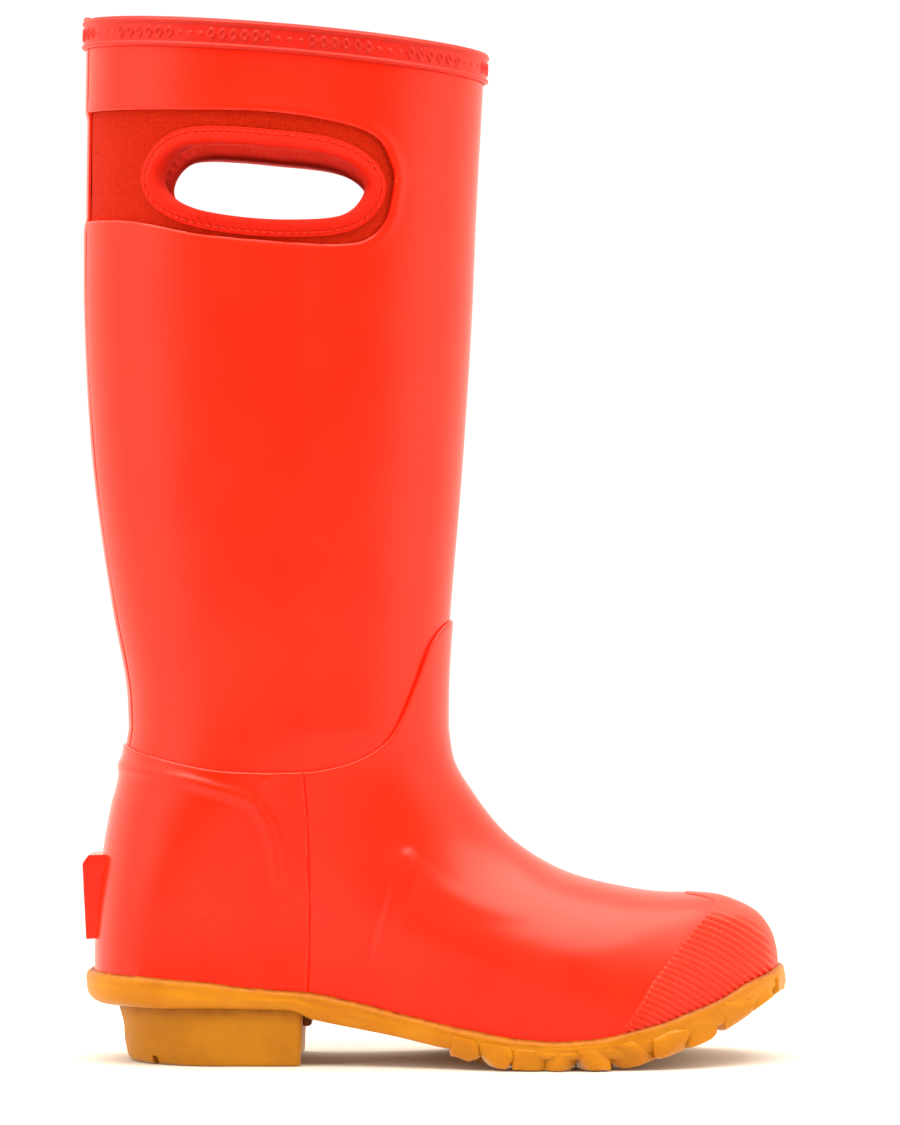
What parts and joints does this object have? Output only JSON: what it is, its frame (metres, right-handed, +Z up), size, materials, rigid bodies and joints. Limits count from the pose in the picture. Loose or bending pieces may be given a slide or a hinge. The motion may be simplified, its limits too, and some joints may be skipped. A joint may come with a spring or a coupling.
{
  "type": "rubber rain boot",
  "caption": "Tall rubber rain boot with hand holes in the shaft, neoprene inner boot, ribbed toe cap, low heel and lugged gum sole.",
  "frame": {"origin": "on the floor under the middle of the boot's bounding box", "axes": "+X towards the toe, +Y towards the inner side of the leg, +Z up the shaft"},
  "size_m": [0.2826, 0.1013, 0.4172],
  "materials": {
    "red_rubber": "satin gloss",
    "red_rubber_ribbed": "satin, fine ribs",
    "gum_rubber": "satin",
    "red_neoprene": "brushed jersey over foam",
    "knit_binding": "smooth knit",
    "thread": "twisted thread",
    "grey_lining": "knit",
    "fibre_board": "pressed fibre",
    "spring_steel": "rolled",
    "cushion_foam": "open foam",
    "stiffener": "matte sheet",
    "footbed_foam": "fine foam"
  },
  "bodies": {
    "boot": {"outsole": "gum_rubber", "insole_board": "fibre_board", "shank": "spring_steel", "heel_cushion": "cushion_foam", "heel_quarter": "red_rubber", "vamp": "red_rubber", "toe_cap": "red_rubber_ribbed", "shaft_panel": "red_rubber", "backstay": "red_rubber", "top_band": "red_rubber", "kick_tab": "red_rubber", "heel_counter": "stiffener", "toe_puff": "stiffener", "neoprene_shaft": "red_neoprene", "neoprene_foot": "red_neoprene", "lining_shaft": "grey_lining", "lining_foot": "grey_lining", "handle_binding_outer": "knit_binding", "binding_stitch_outer": "thread", "handle_binding_inner": "knit_binding", "binding_stitch_inner": "thread"},
    "footbed": {"footbed": "footbed_foam", "footbed_cover": "grey_lining"}
  },
  "joints": [
    {"name": "footbed_lift", "type": "hinge", "parent": "boot", "child": "footbed", "pos_m": [0.126, 0, 0.036], "axis": [0, 1, 0], "range_deg": [0, 5]}
  ]
}
